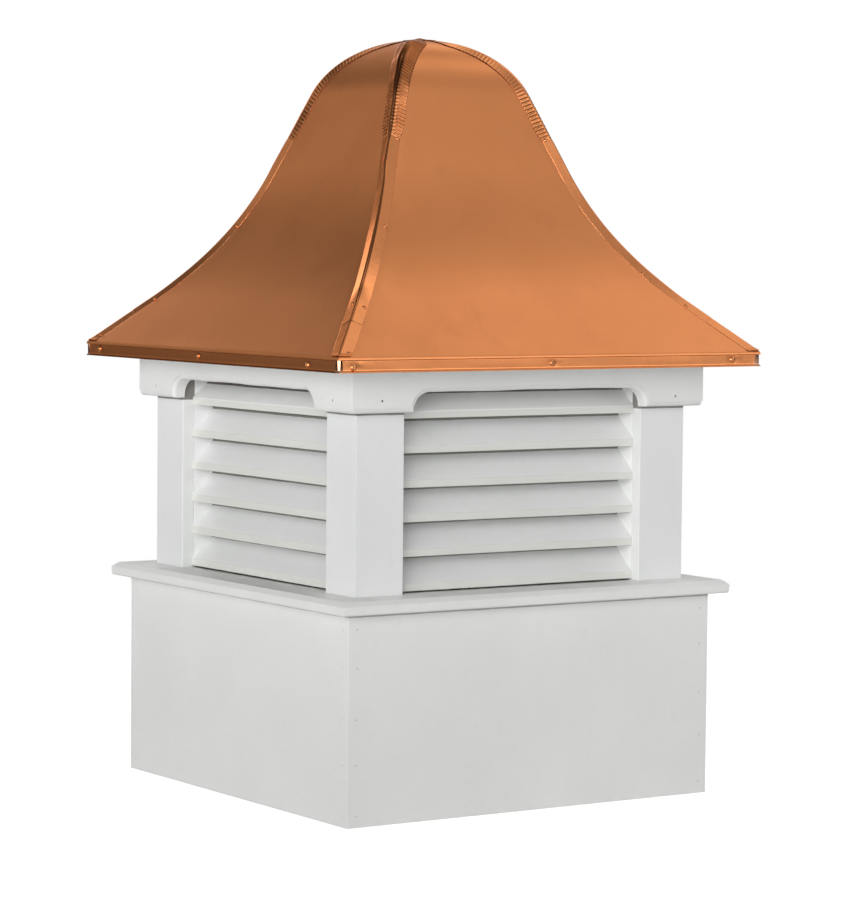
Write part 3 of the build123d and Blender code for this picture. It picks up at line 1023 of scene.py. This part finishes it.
def leg_shape(S, L, seed, style):
    """Outer offsets of one leg at the ridge and at the edge."""
    tilt = glide(S, TILT_AT, style["tilt"])
    crimped = crimp_height(L, seed)
    edge = np.full(len(S), 0.24) + 0.44 * style["crimp"] * crimped
    edge = edge + 0.6 * (1 - smooth(20, 60, S))
    # upper piece lies over the lower one
    low = smooth(S_LAP - 0.5, S_LAP + 0.5, S)
    tilt = tilt * (1 - low) + style["low_tilt"] * low
    edge = edge - 0.10 * low
    ridge = edge + CAP * np.tan(np.radians(tilt))
    # slight wandering
    calm = 1 - 0.6 * crimped
    ridge = ridge + (0.10 * np.sin(L / 47.0 + seed) + 0.06 * np.sin(L / 19.0 + 2 * seed)) * calm
    edge = edge + (0.12 * np.sin(L / 33.0 + 3 * seed) + 0.07 * np.sin(L / 14.0 + seed)) * calm
    return ridge, edge


def crimp_height(L, seed):
    """0 to 1: how deep the crimps are pressed along the cap."""
    h = 0.34 + 0.66 * bump(L, L_CRIMP - 42.0, 82.0)
    h = h * (1 + 0.12 * np.sin(L / 9.7 + 3 * seed) + 0.10 * np.sin(L / 4.3 + seed))
    return h * (1 - smooth(L_CRIMP - 3.0, L_CRIMP + 0.5, L)) * smooth(8, 60, L)


def spread_width(L):
    """The crimped part lies flatter and reaches further out."""
    return 1.0 + 0.21 * (1 - smooth(L_CRIMP - 22.0, L_CRIMP + 2.0, L))


def pinch_width(L):
    """Width of the flat pinched beside the ridge just below the crimps."""
    u = (L - L_CRIMP - 1.0) / 92.0
    up = 10.5 * np.clip(u / 0.6, 0, 1) ** 0.8
    down = np.clip((1 - u) / 0.4, 0, 1)
    return np.where((u > 0) & (u < 1), up * down, 0.0)


def hip_cap(corner, k):
    st = CAP_STYLE[corner]
    e1 = np.array([1.0, 1.0, 0.0]) / math.sqrt(2)
    psi = np.arcsin(np.sin(ha) / math.sqrt(2))
    nH = np.stack([np.sin(ha), -np.sin(ha), 2 * np.cos(ha)], 1)
    nH /= np.linalg.norm(nH, axis=1)[:, None]
    T = np.stack([np.cos(ha), -np.cos(ha), -np.sin(ha)], 1) / hm[:, None]
    H = np.stack([hd, -hd, hz], 1)
    qs = np.array([0.985, 0.94, 0.88, 0.80, 0.72, 0.64, 0.56, 0.48, 0.40, 0.34, 0.28, 0.225, 0.17])
    phase = 2 * math.pi * (HL - L_CRIMP) / CRIMP_PITCH
    ripple = 0.5 * (np.cos(phase) + 0.16 * np.cos(2 * phase) - 0.2)
    # the fold is pressed flat and wide in the crimped part, sharp below it, soft again at the eave
    spread = glide(HS, (S_CRIMP - 6.0, S_CRIMP + 10.0, 560.0, 610.0), (1.0, 0.30, 0.30, 0.62))
    legs = []
    for leg, sgn in (("a", -1.0), ("b", 1.0)):
        g = st[leg]
        ridge, edge = leg_shape(HS, HL, g["seed"], g)
        ridge = edge + (ridge - edge) * spread_width(HL)
        width = CAP * spread_width(HL) + 0.35 * np.sin(HL / 41.0 + g["seed"]) + 0.2 * np.sin(HL / 12.0 + 2 * g["seed"])
        # close to the middle the legs narrow so that they end on the peak
        width = np.minimum(width, hd / hm * 0.92)
        amp = g["crimp"] * crimp_height(HL, g["seed"])
        flat = pinch_width(HL) * g["pinch"]
        ring = []
        # outer edge: a folded hem with a round nose
        for t in (-90, -55, -20, 15, 50, 90):
            a = math.radians(t)
            r = 0.3
            q = width - r + r * math.cos(a)
            o = edge - r + r * math.sin(a)
            o = o + amp * ripple * 0.35
            ring.append((q, np.maximum(o, -1.6)))
        for w in qs:
            q = width * w
            if w < 0.45:
                q = q * (spread + (1 - spread) * float(smooth(0.12, 0.50, w)))
            o = edge + (ridge - edge) * (1 - q / width)
            on = smooth(2.4, 9.0, q)
            o = o + amp * ripple * on * (1 - 0.65 * smooth(width - 4.0, width, q))
            o = o + math.tan(math.radians(17.0)) * np.maximum(flat - q, 0.0)
            ring.append((q, o))
        legs.append((ring, sgn, g))
    # ridge: a small round between the two legs
    verts_rings = []
    N = len(HS)

    def point(q, o, sgn):
        return (H + (sgn * (q * np.cos(psi) + o * np.sin(psi)))[:, None] * e1
                + (-q * np.sin(psi) + o * np.cos(psi))[:, None] * nH)

    outer_a = [point(q, o, -1.0) for q, o in legs[0][0]]
    outer_b = [point(q, o, 1.0) for q, o in legs[1][0]]
    # fillet points blend the two innermost leg points through the ridge
    pa, pb = outer_a[-1], outer_b[-1]
    ra = legs[0][0][-1]
    rb = legs[1][0][-1]
    ridge_o = 0.5 * (ra[1] + rb[1])
    apex = H + ((ridge_o + 0.25) / np.cos(psi))[:, None] * nH
    fil = []
    for t in (0.25, 0.5, 0.75):
        # a curve pulled towards the fold line
        b0, b1, b2 = (1 - t) ** 2, 2 * t * (1 - t), t * t
        fil.append(pa * b0 + apex * b1 + pb * b2)
    # lower end of the cap stands up a little and its edge is rolled
    lift = st["end"] * smooth(S_END - 11.0, S_END, HS) ** 2
    under = []
    for ring, sgn, g in legs:
        pts = []
        for w in (0.97, 0.6, 0.2):
            q = ring[0][0] * w
            o = np.minimum(ring[0][1] - 0.2, ring[6][1] - 0.9)
            if w < 0.9:
                o = ring[6 + (6 if w > 0.4 else 11)][1] - 0.95 - 0.5 * amp
            pts.append(point(q, o, sgn))
        under.append(pts)
    loop = outer_a + fil + outer_b[::-1] + under[1] + under[0][::-1]
    # loop runs: edge of leg a, ridge, edge of leg b, and back underneath
    # towards the eave the rings swing round, so that the end is level with it
    qa = [legs[0][0][j][0] for j in range(len(legs[0][0]))]
    qb = [legs[1][0][j][0] for j in range(len(legs[1][0]))]
    zero = np.zeros(N)
    q_all = (qa + [zero] * 3 + qb[::-1] + [legs[1][0][0][0] * w for w in (0.97, 0.6, 0.2)]
             + [legs[0][0][0][0] * w for w in (0.97, 0.6, 0.2)][::-1])
    swing = smooth(640.0, 700.0, HS) * np.cos(ha)
    rings = []
    for i in range(N):
        r = np.array([p[i] for p in loop])
        r = r + lift[i] * nH[i]
        r = r - np.array([q[i] for q in q_all])[:, None] * swing[i] * T[i]
        rings.append(r)
    return loft(rings)


TILT = (3.0, 20.0, 20.0, 10.5, 7.0, 7.0, 9.0, 14.0, 14.0, 5.0)
TILT_LOW = (2.0, 5.0, 5.0, 4.5, 4.0, 4.0, 4.0, 4.5, 5.0, 4.0)


def leg_style(seed, tilt=TILT_LOW, low_tilt=3.0, pinch=0.0, crimp=1.35):
    return dict(seed=seed, tilt=tilt, low_tilt=low_tilt, pinch=pinch, crimp=crimp)


# leg a lies on the panel before the corner, leg b on the panel after it
CAP_STYLE = {
    "front_right": {"a": leg_style(1.1), "b": leg_style(2.3), "end": 1.6},
    "back_right": {"a": leg_style(3.7), "b": leg_style(4.1, low_tilt=3.0), "end": 1.4},
    "back_left": {"a": leg_style(5.3, low_tilt=3.0, pinch=0.6), "b": leg_style(6.6), "end": 1.5},
    "front_left": {"a": leg_style(7.9, TILT, pinch=1.0, crimp=1.9), "b": leg_style(8.2, TILT, low_tilt=0.8, crimp=1.9), "end": 1.7},
}
for corner, k in CORNERS.items():
    s = Shape().add(*hip_cap(corner, k))
    me = s.mesh("hip_cap_" + corner, k, 60)
    # the nose of the hem and the side that lies on the panel are dull
    for p in me.polygons:
        if p.index < (len(HS) - 1) * 47 and p.index % 47 in (0, 1, 2, 3) + tuple(range(36, 47)):
            p.material_index = 1
    place("hip_cap_" + corner, me, [COPPER_NEAR if corner == "front_left" else COPPER_CAP, COPPER_HEM], "copper", "hip_cap_" + corner, weighted=False)


def hip_point(S, q, off, leg):
    """A place on a hip cap and the normal there, for the front right hip."""
    d, z, a = (float(t[0]) for t in roof(np.array([float(S)])))
    psi = math.asin(math.sin(a) / math.sqrt(2))
    nH = np.array([math.sin(a), -math.sin(a), 2 * math.cos(a)])
    nH /= np.linalg.norm(nH)
    e1 = np.array([1.0, 1.0, 0.0]) / math.sqrt(2)
    sgn = -1.0 if leg == "a" else 1.0
    pos = np.array([d, -d, z]) + sgn * (q * math.cos(psi) + off * math.sin(psi)) * e1 + (-q * math.sin(psi) + off * math.cos(psi)) * nH
    nrm = sgn * math.sin(psi) * e1 + math.cos(psi) * nH
    return pos, nrm


def hip_normal(S):
    _, _, a = roof(np.array([float(S)]))
    n = np.array([math.sin(a[0]), -math.sin(a[0]), 2 * math.cos(a[0])])
    return n / np.linalg.norm(n)


HIP_SCREWS = {"front_right": [(266, "a", 14.0), (439, "b", 14.0), (534, "a", 15.0), (605, "b", 14.0), (613, "a", 14.0), (712, "b", 13.0)],
              "back_right": [(266, "b", 14.0), (439, "a", 14.0), (600, "a", 13.0), (600, "b", 14.0), (714, "a", 13.0)],
              "back_left": [(266, "a", 13.0), (439, "b", 14.0), (600, "a", 14.0), (612, "b", 14.0), (712, "b", 13.0)],
              "front_left": [(270, "b", 16.0), (437, "b", 16.0), (607, "a", 10.0), (613, "b", 14.0), (719, "b", 14.0)]}
for corner, k in CORNERS.items():
    s = Shape()
    for j, (S, leg, q) in enumerate(HIP_SCREWS[corner]):
        st = CAP_STYLE[corner][leg]
        L = float(np.interp(S, HS, HL))
        ridge, edge = leg_shape(np.array([float(S)]), np.array([L]), st["seed"], st)
        off = float(edge[0] + (ridge[0] - edge[0]) * (1 - q / CAP)) - 0.25
        pos, nrm = hip_point(S, q, off, leg)
        tilt = math.radians(float(glide(float(S), TILT_AT, st["tilt"]) if S < S_LAP else st["low_tilt"]))
        side = nrm - hip_normal(S) * float(nrm @ hip_normal(S))
        side /= max(np.linalg.norm(side), 1e-6)
        screw(s, pos, nrm + side * math.sin(tilt), 3.7, 1.9, 24, phase=0.9 * j)
    place("hip_screws_" + corner, s.mesh("hip_screws_" + corner, k, 50), [COPPER_SCREW], "copper", weighted=False)


# ---------------------------------------------------------------------------
# Peak
# ---------------------------------------------------------------------------
def roof_z(x, y):
    d = np.maximum(np.abs(x), np.abs(y))
    return ZC + np.sqrt(R1 * R1 - d * d)


def peak():
    """Pinched cap with a blunt tip and an arm down each hip."""
    na, nr = 192, 34
    t = np.arange(na) * 2 * math.pi / na
    diag = np.abs(np.sin(2 * t))                     # 1 over the hips, 0 over the panels
    reach = 19.0 + 12.0 * diag ** 5 + 0.8 * np.sin(3 * t + 0.5) + 0.5 * np.sin(7 * t)
    verts = []

    def height(x, y, r):
        tip = 3.05 * np.exp(-(r / 8.5) ** 1.6)
        fold = 0.42 * np.cos(8 * np.arctan2(y, x) + 0.4) * smooth(2, 9, r) * (1 - smooth(14, 30, r))
        over = 1.75 + 0.55 * smooth(12, 24, r) * diag_of(x, y)
        return roof_z(x, y) + over + tip + fold

    def diag_of(x, y):
        return np.abs(np.sin(2 * np.arctan2(y, x))) ** 3

    fr = np.concatenate([np.linspace(0.03, 0.92, nr - 8), [0.95, 0.97, 0.985, 0.995, 1.0]])
    outer = []
    for f in fr:
        r = reach * f
        x, y = r * np.cos(t), r * np.sin(t)
        z = height(x, y, r)
        roll = 0.9 * smooth(0.955, 1.0, f) ** 2
        outer.append(np.stack([x, y, z - roll], 1))
    lower = []
    for f in (0.995, 0.9, 0.6, 0.3, 0.05):
        r = reach * f
        x, y = r * np.cos(t), r * np.sin(t)
        z = roof_z(x, y) + 0.15 + 0.0 * r
        if f > 0.9:
            z = height(x, y, r) - 1.6
        lower.append(np.stack([x, y, np.minimum(z, height(x, y, r) - 0.8)], 1))
    rings = outer + lower
    verts = np.concatenate(rings)
    faces = []
    for r in range(len(rings) - 1):
        for i in range(na):
            j = (i + 1) % na
            faces.append((r * na + i, r * na + j, (r + 1) * na + j, (r + 1) * na + i))
    n = len(verts)
    top = np.array([[0, 0, TOP + 1.75 + 3.05 + 0.02]])
    low = np.array([[0, 0, TOP + 0.15]])
    verts = np.concatenate([verts, top, low])
    last = (len(rings) - 1) * na
    for i in range(na):
        j = (i + 1) % na
        faces.append((n, j, i))
        faces.append((n + 1, last + i, last + j))
    verts[:, 2] = np.minimum(verts[:, 2], 1353.35)
    return verts, faces


s = Shape().add(*peak())
place("roof_peak", s.mesh("roof_peak", 0, 50), [COPPER_PEAK], "copper", "roof_peak", weighted=False)


# ---------------------------------------------------------------------------
# Floor
# ---------------------------------------------------------------------------
FLOOR_GLOW = 0.000
FLOOR_LIFT = 0.85


def floor_disc(radius=3.6, rings=30, seg=128):
    v = [(0.0, 0.0, 0.0)]
    for r in range(1, rings + 1):
        rr = radius * (r / rings)
        for i in range(seg):
            t = 2 * math.pi * i / seg
            v.append((rr * math.cos(t), rr * math.sin(t), 0.0))
    f = []
    for i in range(seg):
        f.append((0, 1 + i, 1 + (i + 1) % seg))
    for r in range(rings - 1):
        for i in range(seg):
            a, b = 1 + r * seg + i, 1 + r * seg + (i + 1) % seg
            f.append((a, a + seg, b + seg, b))
    me = bpy.data.meshes.new("floor")
    me.from_pydata(v, [], f)
    me.shade_smooth()
    return me


t = Tree("floor_pale")
f = t.noise(t.mapped(), 1.2, 2.0, 0.5)
t.link(t.ramp(f, [(0.3, (0.80, 0.80, 0.795)), (0.7, (0.82, 0.82, 0.815))]), t.bsdf.inputs["Base Color"])
t.bsdf.inputs["Roughness"].default_value = 0.9
t.bsdf.inputs["Specular IOR Level"].default_value = 0.1
t.bsdf.inputs["Emission Color"].default_value = (1.0, 1.0, 1.0, 1.0)
t.bsdf.inputs["Emission Strength"].default_value = FLOOR_GLOW
# the floor looks paper white, but throws no more light back than a pale floor does
seen = t.node("ShaderNodeEmission")
seen.inputs["Strength"].default_value = FLOOR_LIFT
both = t.node("ShaderNodeAddShader")
pick = t.node("ShaderNodeMixShader")
t.link(t.bsdf.outputs[0], both.inputs[0])
t.link(seen.outputs[0], both.inputs[1])
t.link(t.node("ShaderNodeLightPath").outputs["Is Camera Ray"], pick.inputs[0])
t.link(t.bsdf.outputs[0], pick.inputs[1])
t.link(both.outputs[0], pick.inputs[2])
t.link(pick.outputs[0], t.out.inputs[0])
floor = bpy.data.objects.new("floor", floor_disc())
scene.collection.objects.link(floor)
floor.data.materials.append(t.mat)
floor.location.z = -0.0002

# ---------------------------------------------------------------------------
# Camera
# ---------------------------------------------------------------------------
yaw, pitch, roll = math.radians(33.301), math.radians(3.591), math.radians(0.522)
fwd = Vector((math.sin(yaw) * math.cos(pitch), math.cos(yaw) * math.cos(pitch), -math.sin(pitch)))
right = Vector((math.cos(yaw), -math.sin(yaw), 0.0))
up = right.cross(fwd)
r2 = right * math.cos(roll) + up * math.sin(roll)
u2 = -right * math.sin(roll) + up * math.cos(roll)
cam = bpy.data.cameras.new("camera")
cam.sensor_fit = "HORIZONTAL"
cam.sensor_width = 36.0
cam.lens = 3398.5 / 843.0 * 36.0
cam.clip_start, cam.clip_end = 0.1, 100.0
cam_ob = bpy.data.objects.new("camera", cam)
scene.collection.objects.link(cam_ob)
cam_ob.matrix_world = Matrix(((r2.x, u2.x, -fwd.x, -3.38726), (r2.y, u2.y, -fwd.y, -5.17522),
                              (r2.z, u2.z, -fwd.z, 0.99721), (0, 0, 0, 1)))
scene.camera = cam_ob

# ---------------------------------------------------------------------------
# Light: a soft studio all round, brighter and darker by direction
# ---------------------------------------------------------------------------
LOBES = [
    # direction, tightness, strength
    ((-0.947, -0.319, 0.025), 9.0, 0.400),
    ((0.524, -0.787, 0.325), 9.0, 0.118),
    ((-0.451, 0.833, 0.321), 40.0, 0.600),
    ((-0.030, 0.833, 0.552), 40.0, 0.100),
    ((0.250, 0.829, 0.500), 40.0, 0.325),
    ((0.550, 0.600, 0.580), 40.0, 1.150),
    ((0.548, 0.300, 0.781), 40.0, 0.300),
    ((0.548, -0.009, 0.836), 40.0, 0.940),
    ((0.554, -0.404, 0.728), 40.0, 0.430),
    ((0.261, -0.784, 0.563), 40.0, 1.500),
    ((0.549, 0.836, 0.000), 40.0, 1.500),
    ((-0.702, -0.662, 0.261), 80.0, 4.000),
    ((-0.902, -0.351, 0.251), 40.0, 3.600),
    ((-0.346, -0.890, 0.297), 40.0, 0.600),
    ((-0.625, -0.779, -0.051), 30.0, 2.900),
    ((-0.612, -0.782, 0.120), 30.0, 0.600),
    ((-0.991, 0.120, 0.050), 30.0, 1.400),
    ((0.319, -0.947, 0.050), 30.0, 0.150),
    ((-0.820, -0.570, 0.050), 30.0, 4.000),
    ((-0.548, 0.834, -0.030), 40.0, 0.180),
    # narrow strips that only the folds and crimps of the sheet pick up
    ((0.770, -0.050, 0.630), 120.0, 1.500),
    ((0.770, 0.250, 0.590), 120.0, 2.000),
    ((0.770, -0.380, 0.520), 60.0, 0.380),
    ((0.780, -0.520, 0.360), 60.0, 0.330),
    ((0.110, 0.950, 0.290), 120.0, 2.300),
    ((0.300, 0.930, 0.215), 120.0, 2.400),
    ((0.050, 0.330, 0.940), 120.0, 1.300),
    ((-0.300, 0.000, 0.950), 20.0, 0.120),
    ((-0.550, -0.270, 0.785), 30.0, 0.150),
    ((-0.450, 0.400, 0.750), 20.0, 0.100),
    ((0.050, 0.990, 0.100), 120.0, 0.900),
    ((0.548, -0.805, 0.227), 80.0, 2.200),
    ((0.548, -0.834, -0.063), 40.0, 0.600),
]
AMBIENT = 0.0000


def build_world():
    world = bpy.data.worlds.new("studio")
    scene.world = world
    world.use_nodes = True
    nt = world.node_tree
    nt.nodes.clear()
    out = nt.nodes.new("ShaderNodeOutputWorld")
    bg = nt.nodes.new("ShaderNodeBackground")
    white = nt.nodes.new("ShaderNodeBackground")
    white.inputs[0].default_value = (1, 1, 1, 1)
    white.inputs[1].default_value = 1.0
    mix = nt.nodes.new("ShaderNodeMixShader")
    lp = nt.nodes.new("ShaderNodeLightPath")
    nt.links.new(lp.outputs["Is Camera Ray"], mix.inputs[0])
    nt.links.new(bg.outputs[0], mix.inputs[1])
    nt.links.new(white.outputs[0], mix.inputs[2])
    nt.links.new(mix.outputs[0], out.inputs[0])
    tc = nt.nodes.new("ShaderNodeTexCoord")
    total = None

    def m(op, a, b=None, c=None):
        n = nt.nodes.new("ShaderNodeMath")
        n.operation = op
        for i, value in enumerate((a, b, c)):
            if value is None:
                continue
            if hasattr(value, "is_linked"):
                nt.links.new(value, n.inputs[i])
            else:
                n.inputs[i].default_value = value
        return n.outputs[0]

    norm = nt.nodes.new("ShaderNodeVectorMath")
    norm.operation = "NORMALIZE"
    nt.links.new(tc.outputs["Generated"], norm.inputs[0])
    for direction, tight, strength in LOBES:
        dv = Vector(direction).normalized()
        dot = nt.nodes.new("ShaderNodeVectorMath")
        dot.operation = "DOT_PRODUCT"
        nt.links.new(norm.outputs[0], dot.inputs[0])
        dot.inputs[1].default_value = dv
        # strength * exp(tight * (cos - 1))
        e = m("MULTIPLY_ADD", dot.outputs["Value"], tight, -tight)
        p = m("EXPONENT", e)
        q = m("MULTIPLY", p, strength)
        total = q if total is None else m("ADD", total, q)
    total = m("ADD", total, AMBIENT)
    total = m("MAXIMUM", total, 0.0)
    bg.inputs[0].default_value = (1, 1, 1, 1)
    nt.links.new(total, bg.inputs[1])
    return world


build_world()

scene.view_settings.view_transform = "Standard"
scene.view_settings.look = "None"
scene.view_settings.exposure = 0.0
scene.view_settings.gamma = 1.0
scene.cycles.use_denoising = True
scene.cycles.denoiser = "OPENIMAGEDENOISE"
scene.cycles.denoising_input_passes = "RGB_ALBEDO_NORMAL"
scene.cycles.denoising_prefilter = "ACCURATE"
scene.cycles.max_bounces = 8
scene.cycles.diffuse_bounces = 5
scene.cycles.glossy_bounces = 5
scene.cycles.sample_clamp_indirect = 6.0
scene.cycles.caustics_reflective = False
scene.cycles.caustics_refractive = False
